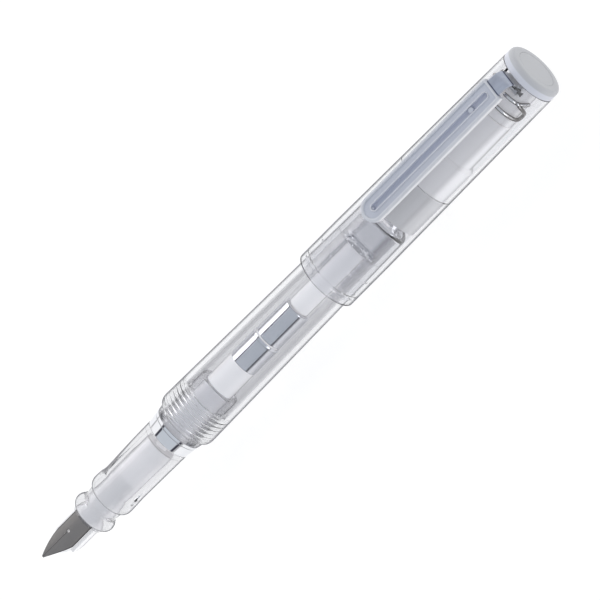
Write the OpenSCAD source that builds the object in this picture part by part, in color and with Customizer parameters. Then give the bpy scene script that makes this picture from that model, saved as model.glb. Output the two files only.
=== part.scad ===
// Clear cartridge/converter fountain pen with its cap posted on the barrel.
// The pen lies along X with the nib at -X and the cap's finial at +X.
// The clip and the top of the nib face +Z. Lengths are in millimetres.
// Stations along the pen are measured from the nib tip, and radii from the pen's axis.

/* [Nib and feed] */
// Radius of the cylinder that the nib sheet is rolled on
nib_r = 3.0; // [2.9:0.05:3.02]
// Thickness of the nib sheet
nib_t = 0.25; // [0.2:0.05:0.3]
// Distance from the tip to the nib's shoulders
nib_shoulder = 6.4; // [5.5:0.1:7.5]
// Half of the angle that the nib sheet wraps round the feed
nib_wrap = 58; // [50:1:64]
// Diameter of the breather hole
breather_d = 0.7; // [0.5:0.1:0.9]
// Number of fins in the feed's comb
comb_fins = 8; // [6:1:8]

/* [Grip section] */
// Station of the section's open end
section_front = 12.5; // [12.2:0.1:12.8]
// Outer radius of the rounded lip
lip_r = 5.13; // [4.9:0.01:5.2]
// Radius at the bottom of the groove behind the lip
groove_r = 4.15; // [4.05:0.05:4.4]
// Radius of the bulge in front of the finger flats
bulge_r = 5.4; // [5.3:0.05:5.5]
// Depth of the two finger flats at their front end
flat_depth = 0.5; // [0.3:0.05:0.6]
// Angle of each finger flat from the top of the pen
flat_angle = 60; // [50:5:70]

/* [Barrel] */
// Greatest outer radius of the barrel, at its front shoulder
barrel_front_r = 7.12; // [7.0:0.02:7.2]
// Outer radius of the barrel at its rear end
barrel_rear_r = 6.13; // [6.05:0.01:6.15]
// Station of the barrel's rear end
barrel_end = 108.5; // [108:0.1:109]
// Radial thickness of the barrel's wall
barrel_wall = 1.24; // [1.15:0.01:1.3]
// Pitch of the thread between the section and the barrel
thread_pitch = 1.1; // [1.0:0.05:1.15]

/* [Converter] */
// Outer radius of the ink tube
tube_r = 3.45; // [3.4:0.01:3.47]
// Inner radius of the ink tube
tube_bore_r = 2.7; // [2.6:0.05:2.75]
// Radius of the turning knob
knob_r = 2.57; // [2.4:0.01:2.7]
// Station of the knob's rear end
knob_end = 99.9; // [98:0.1:100]
// Radius of the piston rod
rod_r = 1.2; // [1.0:0.05:1.2]

/* [Cap] */
// Station of the cap's mouth when it is posted
cap_mouth = 89.2; // [89:0.1:89.4]
// Outer radius of the cap at its mouth band
cap_mouth_r = 7.5; // [7.45:0.01:7.6]
// Outer radius of the cap under the finial
cap_top_r = 6.95; // [6.9:0.01:7.0]
// Length of the parallel band behind the mouth's rounding
band_len = 10; // [8:0.5:12]
// Total length with the cap posted
total_len = 156.7; // [156.5:0.1:157]
// Thickness of the finial
finial_t = 2.7; // [2.6:0.05:2.8]
// Radius of the inlay in the finial
inlay_r = 4.75; // [4.5:0.05:5.0]

/* [Clip] */
// Width of the clip arm
clip_w = 6.0; // [5.6:0.1:6.2]
// Station of the clip's free end
clip_front = 108.6; // [106:0.2:110]
// Station where the plastic arm meets the metal plate
clip_rear = 149.8; // [149:0.1:150]
// Height of the clip's outer face above the pen's axis
clip_top = 10.35; // [10.2:0.05:10.6]
// Thickness of the clip arm
clip_t = 1.75; // [1.6:0.05:1.8]
// Width of the long groove in the clip arm
slot_w = 1.35; // [1.2:0.05:1.5]
// Width of the metal clip plate
plate_w = 4.1; // [3.9:0.1:4.2]
// Thickness of the metal clip plate
plate_t = 0.5; // [0.4:0.05:0.5]
// Radius of the spring's wire
wire_r = 0.4; // [0.3:0.05:0.45]

/* [Hidden] */

CLEAR = [0.87, 0.88, 0.91, 0.35];
FROST = [0.84, 0.85, 0.88, 0.7];
CLIP_TINT = [0.68, 0.71, 0.80, 0.85];
CHROME = [0.72, 0.76, 0.79];
STEEL = [0.48, 0.46, 0.45];
RUBBER = [0.80, 0.80, 0.82];

gap = 0.03;            // between pieces that are pressed or glued together
run = 0.07;            // radial running clearance between turning pieces

// Nib
nib_half_w = nib_r * sin(nib_wrap);

// Grip section and neck
section_bore_r = 3.62;
section_rear = 38.5;   // shoulder that the trim ring seats on
neck_r = 4.9;
neck_end = 55.5;
neck_bore_r = 3.52;
male_root_r = 4.6;
male_crest_r = 5.0;
thread_start = 43.8;
thread_turns = 6;

// Feed housing
housing_front = 13.2;
housing_rear = 36.5;
housing_r = section_bore_r - gap;
housing_bore_r = nib_r + gap;
nipple_r = 1.55;
nipple_end = 43;
ink_bore_r = 0.7;

// Trim
ring_bore_r = 4.98;
ring_front = section_rear + 0.05;
ring_front_r = 5.47;
ring_rear_r = 5.80;
ring_end = 41.1;
washer_start = 41.2;
washer_end = 41.92;
washer_r = 5.88;

// Barrel
barrel_front = 42;
barrel_full = 45.4;    // station of the greatest radius
female_crest_r = 5.1;
female_root_r = 5.48;
cavity_start = 51.6;
cavity_end = 100.7;
plug_r = cavity_r(cavity_end) - gap;

// Converter
tube_front = 38.2;
sleeve_front = 62.9;
sleeve_rear = 70.7;
tube_end = 71;
collar_front = 71.05;
collar_rear = 80.6;
collar_bore_r = 2.75;
seal_front = 65.4;
head_front = 66.3;     // the rod's head, which the seal clips on
head_rear = 67.2;
head_r = 1.5;
stem_r = 1.0;
stem_rear = 69.6;
knob_front = 80.75;
knob_bore_r = 1.75;
spindle_front = 73.4;
spindle_end = 83.9;
spindle_r = 1.88;

// Cap
bore_mouth_r = 6.62;   // threaded mouth
bore_mid_r = 6.5;      // between the mouth and the liner
bore_top_r = 6.2;      // round the liner and the clip mechanism
step_x = 96.1;
skirt_x = 111.2;        // front of the liner's thin skirt
liner_x = 122;
liner_step = 130;
liner_end = 143.5;
finial_front = total_len - finial_t;
finial_r = 6.9;
carrier_front = 143.7;
carrier_r = 4.4;
screw_r = 1.5;

// Clip
pivot_x = 151.6;
pivot_z = 3.0;
pin_r = 0.6;
pin_len = 6.2;
arm_base = clip_top - clip_t;
plate_z = 9.75;        // centre line of the plate where it leaves the arm
spring_r = 5.0;        // radius of the cylinder that the spring's wire follows

function barrel_r(x) = barrel_front_r
  + (barrel_rear_r - barrel_front_r) * (x - barrel_full) / (barrel_end - barrel_full);
function cavity_r(x) = barrel_r(x) - barrel_wall;
function cap_r(x) = let(taper_x = cap_mouth + 1.2 + band_len)
  x < taper_x ? cap_mouth_r
  : cap_mouth_r + (cap_top_r - cap_mouth_r) * (x - taper_x) / (finial_front - taper_x);

// Points [station, radius] along an arc about [cx, cr]
function arc(cx, cr, r, a0, a1, n = 8) =
  [for (i = [0:n]) let(a = a0 + (a1 - a0) * i / n) [cx + r * cos(a), cr + r * sin(a)]];

// Outline of ridges that stand in for a thread, from root to crest
function ridges(x0, turns, root, crest) = [
  for (i = [0:turns - 1])
    for (q = [[0, root], [0.3, crest], [0.5, crest], [0.8, root]])
      [x0 + (i + q[0]) * thread_pitch, q[1]]
];

// Everything is modelled about the pen's axis from the nib tip, then set down on z = 0
module in_frame() translate([-total_len / 2, 0, cap_mouth_r]) children();

// Revolves an outline of [station, radius] points about the pen's axis
module lathe(p) rotate([0, 90, 0]) rotate_extrude($fn = 96) polygon([for (q = p) [q[1], q[0]]]);

// A round bar or hole along the pen's axis
module rod_x(x0, x1, r) translate([x0, 0, 0]) rotate([0, 90, 0]) cylinder(h = x1 - x0, r = r, $fn = 96);

// A tube along the pen's axis
module tube_x(x0, x1, r_out, r_in) lathe([[x0, r_in], [x0, r_out], [x1, r_out], [x1, r_in]]);

// Nib: a rolled sheet, cut to its outline in plan, with a breather hole and a slit
module nib() {
  tip_half = 0.28;
  nib_end = 26;
  breather_x = 8.5;
  slit_x = 0.4;
  slit_w = 0.07;
  // one side of the outline in plan, from the tip to the shoulder
  edge = [[0, tip_half], [nib_shoulder * 0.6, nib_half_w * 0.68], [nib_shoulder, nib_half_w * 0.97],
    [nib_shoulder + 1, nib_half_w], [nib_end, nib_half_w]];
  outline = concat(edge, [for (i = [len(edge) - 1:-1:0]) [edge[i][0], -edge[i][1]]]);
  color(STEEL)
  difference() {
    intersection() {
      tube_x(0, nib_end, nib_r, nib_r - nib_t);
      linear_extrude(nib_r + 1) polygon(outline);
    }
    translate([breather_x, 0, 0]) cylinder(h = nib_r + 1, d = breather_d, $fn = 32);
    translate([slit_x, -slit_w / 2, 0]) cube([breather_x - slit_x, slit_w, nib_r + 1]);
  }
}

// Feed: a clear bar under the nib with a sloping front, side shoulders and a comb
module feed() {
  bar_r = nib_r - nib_t - gap;
  bar_end = 33;
  wing_r = 3.45;
  wing_x = 5.4;
  wing_top = sqrt(pow(nib_r - nib_t, 2) - pow(nib_half_w, 2)) - 0.05;
  nose_x = 3.4;
  nose_z = 2.2;
  nose_slope = 38;
  comb_x = 17.5;
  comb_pitch = 1.1;
  comb_top = 1.2;
  groove_w = 0.5;
  channel_w = 0.3;
  channel_z = 1.6;
  color(CLEAR)
  difference() {
    union() {
      rod_x(nose_x, bar_end, bar_r);
      difference() {
        rod_x(wing_x, housing_front - gap, wing_r);
        translate([wing_x - 1, -wing_r, wing_top]) cube([10, 2 * wing_r, wing_r]);
      }
    }
    // nose cut back from the nib's underside
    translate([nose_x, 0, nose_z]) rotate([0, nose_slope, 0]) translate([-6, -5, -8]) cube([16, 10, 8]);
    // comb
    for (i = [0:comb_fins - 1])
      translate([comb_x + i * comb_pitch, -5, comb_top - 6]) cube([groove_w, 10, 6]);
    // ink channel
    translate([nose_x - 1, -channel_w / 2, channel_z]) cube([bar_end, channel_w, bar_r]);
  }
}

// Housing: holds the nib and feed in the section and carries the nipple for the converter
module feed_housing() {
  color(FROST)
  lathe([
    [housing_front, housing_bore_r], [housing_front, housing_r], [housing_rear, housing_r],
    [housing_rear, nipple_r], [nipple_end - 0.4, nipple_r], [nipple_end, nipple_r - 0.3],
    [nipple_end, ink_bore_r], [33.4, ink_bore_r], [33.4, housing_bore_r]
  ]);
}

// Grip section: lip, groove, bulge, finger flats, shoulder and the threaded neck
module grip_section() {
  lip_x = section_front + 2.3;
  lip_arc = 1.9;
  groove_arc = 0.9;
  bulge_x = 20.6;
  bulge_arc = 2.1;
  flat_x = 22.8;
  flat_len = 11.4;
  flat_slope = atan((flat_depth + 0.14) / flat_len);
  body_r = 5.25;
  key_w = 2.2;
  key_depth = 0.7;
  outer = concat(
    [[section_front, section_bore_r], [section_front, 3.95]],
    arc(lip_x, lip_r - lip_arc, lip_arc, 158, 40, 12),
    arc(lip_x + 2.45, groove_r + groove_arc, groove_arc, 225, 300, 6),
    arc(bulge_x, bulge_r - bulge_arc, bulge_arc, 150, 90, 8),
    [[22.6, bulge_r - 0.03], [24.5, body_r], [section_rear, 5.45]],
    [[section_rear, neck_r], [thread_start - 0.6, neck_r]],
    ridges(thread_start, thread_turns, male_root_r, male_crest_r),
    [[51.4, male_root_r], [51.9, neck_r], [neck_end - 0.3, neck_r], [neck_end, neck_r - 0.3]],
    [[neck_end, neck_bore_r], [housing_rear + 0.1, neck_bore_r], [housing_rear + 0.1, section_bore_r]]
  );
  color(CLEAR)
  difference() {
    lathe(outer);
    for (side = [-1, 1])
      rotate([side * flat_angle, 0, 0])
        translate([flat_x, -5, body_r - flat_depth])
          rotate([0, -flat_slope, 0]) cube([flat_len + 1, 10, 3]);
    // two key slots in the neck's rear edge
    for (a = [22, 202])
      rotate([a, 0, 0]) translate([neck_end - key_depth, -key_w / 2, 3]) cube([1, key_w, 3]);
  }
}

// Trim ring: a conical chrome band clamped between the section and the barrel
module trim_ring() {
  color(CHROME)
  lathe([
    [ring_front, ring_bore_r], [ring_front, ring_front_r], [ring_front + 0.3, ring_front_r + 0.05],
    [ring_end - 0.1, ring_rear_r], [ring_end, ring_rear_r - 0.08], [ring_end, ring_bore_r]
  ]);
}

// Trim washer: a thin second band behind the ring
module trim_washer() {
  color(CHROME)
  lathe([
    [washer_start, ring_bore_r], [washer_start, washer_r - 0.12], [washer_start + 0.1, washer_r - 0.05],
    [washer_end - 0.08, washer_r], [washer_end, washer_r - 0.04], [washer_end, ring_bore_r]
  ]);
}

// Barrel: a tapered shell with a stepped, rounded front and a threaded throat
module barrel() {
  step_r = 6.2;
  step_x = barrel_full - 1.7;
  edge = 0.6;
  entry_r = 5.25;
  shoulder = [for (i = [0:6]) let(a = 90 * i / 6)
    [barrel_full - (barrel_full - step_x) * cos(a), step_r + (barrel_front_r - step_r) * sin(a)]];
  throat = ridges(thread_start, thread_turns, female_root_r, female_crest_r);
  color(CLEAR)
  lathe(concat(
    [[barrel_front, entry_r], [barrel_front, washer_r]],
    shoulder,
    arc(barrel_end - edge, barrel_rear_r - edge, edge, 90, 0, 5),
    [[barrel_end, plug_r + gap], [cavity_end, plug_r + gap]],
    [[cavity_start, cavity_r(cavity_start)], [cavity_start - 0.4, female_root_r]],
    [for (i = [len(throat) - 1:-1:0]) throat[i]],
    [[thread_start - 0.3, entry_r]]
  ));
}

// Barrel plug: the clear end piece that closes the barrel
module barrel_plug() {
  edge = 0.5;
  dish_depth = 1.2;
  dimple_depth = 0.5;
  dome = arc(barrel_end - edge, plug_r - edge, edge, 90, 0, 5);
  dish = [for (i = [0:6]) [cavity_end + 0.2 + dish_depth * (1 - pow(i / 6, 2)), (plug_r - 0.6) * i / 6]];
  color(CLEAR)
  lathe(concat(
    dish,
    [[cavity_end + 0.1, plug_r]],
    dome,
    [[barrel_end, 2.2], [barrel_end - dimple_depth, 1.7], [barrel_end - dimple_depth, 0]]
  ));
}

// Ink tube: the converter's clear reservoir, which pushes over the nipple
module ink_tube() {
  mouth = 2.0;
  seat_r = tube_r - 0.28;
  color(FROST)
  lathe([
    [tube_front, nipple_r + gap], [tube_front, tube_r - 0.3], [tube_front + 0.3, tube_r],
    [sleeve_front, tube_r], [sleeve_front, seat_r], [tube_end, seat_r], [tube_end, tube_bore_r],
    [tube_front + mouth, tube_bore_r], [tube_front + mouth, nipple_r + gap]
  ]);
}

// Converter sleeve: the chrome tube over the rear of the reservoir
module converter_sleeve() {
  sleeve_r = tube_r + 0.03;
  color(CHROME)
  lathe([
    [sleeve_front + gap, tube_r - 0.25], [sleeve_front + gap, sleeve_r - 0.05],
    [sleeve_front + 0.1, sleeve_r], [sleeve_rear - 0.5, sleeve_r], [sleeve_rear - 0.3, sleeve_r + 0.06],
    [sleeve_rear - 0.1, sleeve_r], [sleeve_rear, sleeve_r - 0.1], [sleeve_rear, tube_r - 0.25]
  ]);
}

// Converter collar: the slightly narrower chrome tube that the knob turns in
module converter_collar() {
  collar_r = tube_r - 0.15;
  end_hole_r = 2.3;
  color(CHROME)
  lathe([
    [collar_front, collar_bore_r], [collar_front, collar_r - 0.1], [collar_front + 0.15, collar_r],
    [collar_rear - 0.3, collar_r], [collar_rear, collar_r - 0.3], [collar_rear, end_hole_r],
    [collar_rear - 0.4, end_hole_r], [collar_rear - 0.4, collar_bore_r]
  ]);
}

// Converter bearing: the plug in the collar that the spindle turns in
module converter_bearing() {
  color(FROST)
  difference() {
    rod_x(collar_front + 0.35, collar_rear - 0.7, collar_bore_r - gap);
    rod_x(spindle_front - 0.2, collar_rear, spindle_r + run);
    rod_x(collar_front, collar_rear, rod_r + run);
  }
}

// Knob: the smooth rear handle of the converter
module converter_knob() {
  edge = 0.4;
  wall = 0.9;
  hollow_r = 1.5;
  color(FROST)
  lathe(concat(
    [[knob_front, knob_bore_r], [knob_front, knob_r - 0.2], [knob_front + 0.2, knob_r]],
    arc(knob_end - edge, knob_r - edge, edge, 90, 0, 5),
    [[knob_end, 0], [knob_end - wall, 0], [knob_end - wall, hollow_r]],
    [[spindle_end + 0.1, hollow_r], [spindle_end + 0.1, knob_bore_r]]
  ));
}

// Spindle: the turning nut, fixed in the knob, that drives the piston rod
module knob_spindle() {
  color(FROST)
  lathe([
    [spindle_front, rod_r + run], [spindle_front, spindle_r], [collar_rear - 0.5, spindle_r],
    [collar_rear - 0.3, knob_bore_r - gap], [spindle_end, knob_bore_r - gap], [spindle_end, rod_r + run]
  ]);
}

// Piston rod: a ridged screw with a head that the seal clips on
module piston_rod() {
  first = 74;
  pitch = 1;
  count = 22;
  rod_end = 97.2;
  color(FROST)
  lathe(concat(
    [[head_front, 0], [head_front, head_r], [head_rear, head_r], [head_rear, stem_r]],
    [[stem_rear, stem_r], [stem_rear, rod_r - 0.05], [first, rod_r - 0.05]],
    [for (i = [0:count - 1]) for (q = [[0.2, rod_r - 0.25], [0.5, rod_r], [0.7, rod_r]])
      [first + (i + q[0]) * pitch, q[1]]],
    [[rod_end, rod_r - 0.2], [rod_end, 0]]
  ));
}

// Piston seal: the double-lipped plunger that wipes the ink tube
module piston_seal() {
  wipe_r = tube_bore_r - 0.04;
  waist_r = 2.3;
  color(RUBBER)
  lathe([
    [seal_front - 0.2, 0], [seal_front, 1.6], [seal_front + 0.1, wipe_r], [seal_front + 0.7, wipe_r],
    [seal_front + 1.3, waist_r], [seal_front + 3.1, waist_r], [seal_front + 3.6, wipe_r],
    [seal_front + 4.1, wipe_r], [seal_front + 4.1, stem_r + gap], [head_rear + gap, stem_r + gap],
    [head_rear + gap, head_r + gap], [head_front - gap, head_r + gap], [head_front - gap, 0]
  ]);
}

// Cap tube: the clear shell, with a ridged mouth, a step, the liner's seat and the clip notch
module cap_tube() {
  notch_w = plate_w + 0.5;
  notch_x = 152.3;
  mouth_edge = 1.2;
  bead_x = 91.4;
  bead = 0.1;
  color(CLEAR)
  difference() {
    lathe(concat(
      arc(cap_mouth + 0.5, bore_mouth_r + 0.35, 0.4, 270, 180, 4),
      arc(cap_mouth + mouth_edge, cap_mouth_r - mouth_edge, mouth_edge, 165, 90, 6),
      [[cap_mouth + mouth_edge + band_len, cap_mouth_r], [finial_front - gap, cap_r(finial_front)]],
      [[finial_front - gap, bore_top_r], [liner_x - 0.5, bore_top_r], [liner_x - 0.5, bore_mid_r]],
      [[step_x + 0.3, bore_mid_r], [step_x, bore_mouth_r]],
      [for (q = [[0.5, 0], [0.2, bead], [-0.2, bead], [-0.5, 0]]) [bead_x + q[0], bore_mouth_r - q[1]]]
    ));
    translate([notch_x, -notch_w / 2, 4]) cube([4, notch_w, 5]);
  }
}

// Inner cap: the frosted liner, with a thin skirt, that seals round the section's lip when the pen is capped
module inner_cap() {
  liner_r = bore_top_r - gap;
  mouth_bore_r = 5.35;
  narrow_r = 5.3;
  wall = 1;
  skirt_r = bore_mid_r - 0.1;
  skirt_bore_r = skirt_r - 0.4;
  skirt_end = liner_x - 0.6;
  seat_x = liner_x - 1.2;
  color(FROST)
  lathe([
    [skirt_x, skirt_bore_r], [skirt_x, skirt_r], [skirt_end, skirt_r], [skirt_end, liner_r],
    [liner_step, liner_r], [liner_step + 0.6, narrow_r], [liner_end - 0.4, narrow_r - 0.2],
    [liner_end, narrow_r - 0.6], [liner_end, screw_r + gap], [liner_end - wall, screw_r + gap],
    [liner_end - wall, narrow_r - 1.1], [liner_step + 0.6, narrow_r - wall], [liner_step, mouth_bore_r],
    [seat_x, mouth_bore_r], [seat_x, skirt_bore_r]
  ]);
}

// Clip carrier: the clear hub behind the liner that holds the pivot pin and the spring
module clip_carrier() {
  slot_w = plate_w + 0.4;
  slot_x = 150.2;
  slot_z = 1.75;
  flange = 1.3;
  color(CLEAR)
  difference() {
    union() {
      rod_x(carrier_front, finial_front - 0.2, carrier_r);
      rod_x(carrier_front, carrier_front + flange, bore_top_r - gap);
    }
    rod_x(carrier_front - 1, finial_front + 1, screw_r + gap);
    translate([slot_x, -slot_w / 2, slot_z]) cube([6, slot_w, 5]);
    translate([pivot_x, -6, pivot_z]) rotate([-90, 0, 0]) cylinder(h = 12, r = pin_r + gap, $fn = 48);
  }
}

// Finial: the round end piece, with a rounded rear edge and a shallow seat for the inlay
module finial() {
  edge = 0.8;
  seat = 0.4;
  socket = 1.7;
  color(FROST)
  lathe(concat(
    [[finial_front, screw_r + gap], [finial_front, finial_r - 0.15], [finial_front + 0.15, finial_r]],
    arc(total_len - edge, finial_r - edge, edge, 90, 0, 6),
    [[total_len, inlay_r + gap], [total_len - seat, inlay_r + gap], [total_len - seat, 0]],
    [[finial_front + socket, 0], [finial_front + socket, screw_r + gap]]
  ));
}

// Finial inlay: the flat disc set into the finial
module finial_inlay() {
  thickness = 0.37;
  edge = 0.12;
  color(FROST)
  lathe([
    [total_len - thickness, 0], [total_len - thickness, inlay_r], [total_len - edge, inlay_r],
    [total_len, inlay_r - edge], [total_len, 0]
  ]);
}

// Finial screw: clamps the liner, the carrier and the finial together
module finial_screw() {
  head_front = 141.3;
  head_rear = liner_end - 1.05;
  head_size = 2.6;
  slot = 0.6;
  color(CHROME)
  difference() {
    union() {
      rod_x(head_front, head_rear, head_size);
      rod_x(head_rear - 0.1, finial_front + 1.6, screw_r);
    }
    translate([head_front - 0.1, -slot / 2, -3]) cube([slot, slot, 6]);
  }
}

// Outline of the clip arm in plan: a round free end and a square rear end
module arm_outline(inset) {
  r = clip_w / 2 - inset;
  translate([clip_front + clip_w / 2, 0]) circle(r = r, $fn = 64);
  translate([clip_front + clip_w / 2, -r]) square([clip_rear - clip_front - clip_w / 2 - inset, 2 * r]);
}

// A long slot with round ends, in plan
module slot_outline(x0, x1, w) {
  for (x = [x0 + w / 2, x1 - w / 2]) translate([x, 0]) circle(d = w, $fn = 48);
  translate([x0 + w / 2, -w / 2]) square([x1 - x0 - w, w]);
}

// Clip arm: the tinted plastic arm, with a raised rim, a sunk band and a long groove
module clip_arm() {
  rim = 0.75;
  lip = 0.28;
  band_depth = 0.35;
  groove_depth = 0.95;
  slot_x0 = clip_front + 2.8;
  slot_x1 = clip_rear - 1.7;
  bridge_x = 143.2;
  bridge_w = 0.9;
  pad_x = clip_front + 3;
  pad_low = cap_r(pad_x) + 0.12;
  color(CLIP_TINT)
  difference() {
    union() {
      translate([0, 0, arm_base]) linear_extrude(clip_t) arm_outline(0);
      // pad under the free end that presses on the cap
      translate([pad_x, 0, pad_low]) cylinder(h = arm_base + 0.3 - pad_low, r1 = 1.1, r2 = 1.7, $fn = 48);
    }
    difference() {
      translate([0, 0, clip_top - band_depth]) linear_extrude(1) arm_outline(rim);
      translate([0, 0, clip_top - 1]) linear_extrude(0.9)
        slot_outline(slot_x0 - lip, slot_x1 + lip, slot_w + 2 * lip);
    }
    difference() {
      translate([0, 0, clip_top - groove_depth]) linear_extrude(2) slot_outline(slot_x0, slot_x1, slot_w);
      translate([bridge_x - bridge_w / 2, -2, arm_base]) cube([bridge_w, 4, clip_t - 0.3]);
    }
    // pocket for the plate's tongue
    translate([clip_rear - 1.2, -plate_w / 2 + 0.4, plate_z - plate_t / 2 - gap])
      cube([2, plate_w - 0.8, plate_t + 2 * gap]);
  }
}

// Centre line of the clip plate in the XZ plane, from the arm to the pivot's eye
function plate_line() = concat(
  [[clip_rear + 0.03, plate_z], [151, plate_z - 0.05]],
  arc(151.2, 7.85, 1.85, 80, 0, 5),
  [[153.05, 6.2], [152.3, pivot_z + 0.9]]
);

// Clip plate: the bent metal strap that joins the arm to the pivot pin
module clip_plate() {
  line = plate_line();
  n = len(line);
  normals = [for (i = [0:n - 1])
    let(a = line[max(i - 1, 0)], b = line[min(i + 1, n - 1)], d = b - a) [d[1], -d[0]] / norm(d)];
  side = [for (i = [0:n - 1]) line[i] + normals[i] * plate_t / 2];
  other = [for (i = [n - 1:-1:0]) line[i] - normals[i] * plate_t / 2];
  color(CHROME)
  difference() {
    union() {
      rotate([90, 0, 0]) translate([0, 0, -plate_w / 2]) linear_extrude(plate_w) polygon(concat(side, other));
      translate([clip_rear - 1.1, -plate_w / 2 + 0.45, plate_z - plate_t / 2])
        cube([1.5, plate_w - 0.9, plate_t]);
      translate([pivot_x, -plate_w / 2, pivot_z]) rotate([-90, 0, 0])
        cylinder(h = plate_w, r = pin_r + run + plate_t, $fn = 64);
    }
    translate([pivot_x, -5, pivot_z]) rotate([-90, 0, 0]) cylinder(h = 10, r = pin_r + run, $fn = 64);
  }
}

// Clip pin: the steel pin that the clip turns on
module clip_pin() {
  color(STEEL)
  translate([pivot_x, -pin_len / 2, pivot_z]) rotate([-90, 0, 0]) cylinder(h = pin_len, r = pin_r, $fn = 48);
}

// Clip spring: a wire that wraps under the carrier, turns back in a loop on each side
// and rises again to the plate. A point has a station and an angle from the top of the pen.
module clip_spring() {
  sides = 8;
  bend_r = 1.7;
  loop_x = 147.9;
  loop_a = 105;
  leg_a = 28;
  half_path = concat(
    [for (i = [0:5]) [loop_x + bend_r, leg_a + (loop_a - leg_a) * i / 5]],
    [for (i = [1:8]) let(t = 180 * i / 8)
      [loop_x + bend_r * cos(t), loop_a + bend_r * sin(t) * 180 / (PI * spring_r)]],
    [for (i = [1:8]) [loop_x - bend_r, loop_a * (1 - i / 8)]]
  );
  path = concat(half_path, [for (i = [len(half_path) - 2:-1:0]) [half_path[i][0], -half_path[i][1]]]);
  points = [for (q = path) [q[0], -spring_r * sin(q[1]), spring_r * cos(q[1])]];
  n = len(points);
  rings = [for (i = [0:n - 1])
    let(
      p = points[i],
      d = points[min(i + 1, n - 1)] - points[max(i - 1, 0)],
      t = d / norm(d),
      out = [0, p[1], p[2]] / norm([0, p[1], p[2]]),
      side = cross(t, out) / norm(cross(t, out)),
      up = cross(side, t)
    )
    for (k = [0:sides - 1]) p + wire_r * (cos(360 * k / sides) * side + sin(360 * k / sides) * up)];
  last = (n - 1) * sides;
  faces = concat(
    [[for (k = [0:sides - 1]) k]],
    [for (i = [0:n - 2]) for (k = [0:sides - 1]) let(a = i * sides + k, b = i * sides + (k + 1) % sides)
      each [[a, a + sides, b + sides], [a, b + sides, b]]],
    [[for (k = [sides - 1:-1:0]) last + k]]
  );
  color(CHROME) polyhedron(rings, faces);
}

in_frame() nib();
in_frame() feed();
in_frame() feed_housing();
in_frame() grip_section();
in_frame() trim_ring();
in_frame() trim_washer();
in_frame() barrel();
in_frame() barrel_plug();
in_frame() ink_tube();
in_frame() converter_sleeve();
in_frame() converter_collar();
in_frame() converter_bearing();
in_frame() converter_knob();
in_frame() knob_spindle();
in_frame() piston_rod();
in_frame() piston_seal();
in_frame() cap_tube();
in_frame() inner_cap();
in_frame() clip_carrier();
in_frame() finial();
in_frame() finial_inlay();
in_frame() finial_screw();
in_frame() clip_arm();
in_frame() clip_plate();
in_frame() clip_pin();
in_frame() clip_spring();
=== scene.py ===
"""Looks of a clear fountain pen with its cap posted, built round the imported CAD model.

Stations run along the pen from the nib tip and radii are taken from the pen's axis, both in millimetres.
The angle turn is measured round the axis from the top of the pen, towards +Y. Meshes are in metres.
"""

import math

import bmesh
import bpy
import numpy as np
from mathutils import Matrix, Vector


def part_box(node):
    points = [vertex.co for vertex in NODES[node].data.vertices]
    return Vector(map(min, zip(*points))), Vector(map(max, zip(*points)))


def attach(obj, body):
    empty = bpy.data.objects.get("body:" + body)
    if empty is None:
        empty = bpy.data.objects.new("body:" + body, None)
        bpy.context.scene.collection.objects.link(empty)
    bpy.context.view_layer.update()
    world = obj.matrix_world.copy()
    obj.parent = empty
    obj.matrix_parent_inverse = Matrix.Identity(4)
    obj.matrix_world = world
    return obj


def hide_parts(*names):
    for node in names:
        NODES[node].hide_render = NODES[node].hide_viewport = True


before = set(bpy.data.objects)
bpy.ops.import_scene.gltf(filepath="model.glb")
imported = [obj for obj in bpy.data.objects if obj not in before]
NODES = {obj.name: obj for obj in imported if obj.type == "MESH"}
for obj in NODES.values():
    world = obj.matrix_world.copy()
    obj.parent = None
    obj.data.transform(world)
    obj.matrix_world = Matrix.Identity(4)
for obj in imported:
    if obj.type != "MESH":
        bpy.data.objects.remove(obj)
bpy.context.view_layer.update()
MM = 0.001
TIP_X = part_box("nib")[0].x
AXIS_Z = sum(corner.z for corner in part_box("cap_tube")) / 2


# ---------------------------------------------------------------- places taken from the frame

def span(node):
    """First station, last station and largest radius of a CAD node."""
    low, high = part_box(node)
    return (low.x - TIP_X) / MM, (high.x - TIP_X) / MM, (high.y - low.y) / 2 / MM


# ---------------------------------------------------------------- camera, stage and light

VIEW_TILT = math.radians(20)      # camera leans this far from square-on, towards the cap
VIEW_ROLL = math.radians(22)      # the clip is turned this far from facing the camera
PEN_SLOPE = math.radians(45.1)    # the pen's axis in the picture, from horizontal
VIEW_WIDTH = 128.58 * MM          # what the picture's width covers at the pen
TIP_OFFSET = (-55.15 * MM, -55.11 * MM)   # nib tip, right of and above the picture's centre
LENS = 1600.0
SENSOR = 36.0


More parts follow.
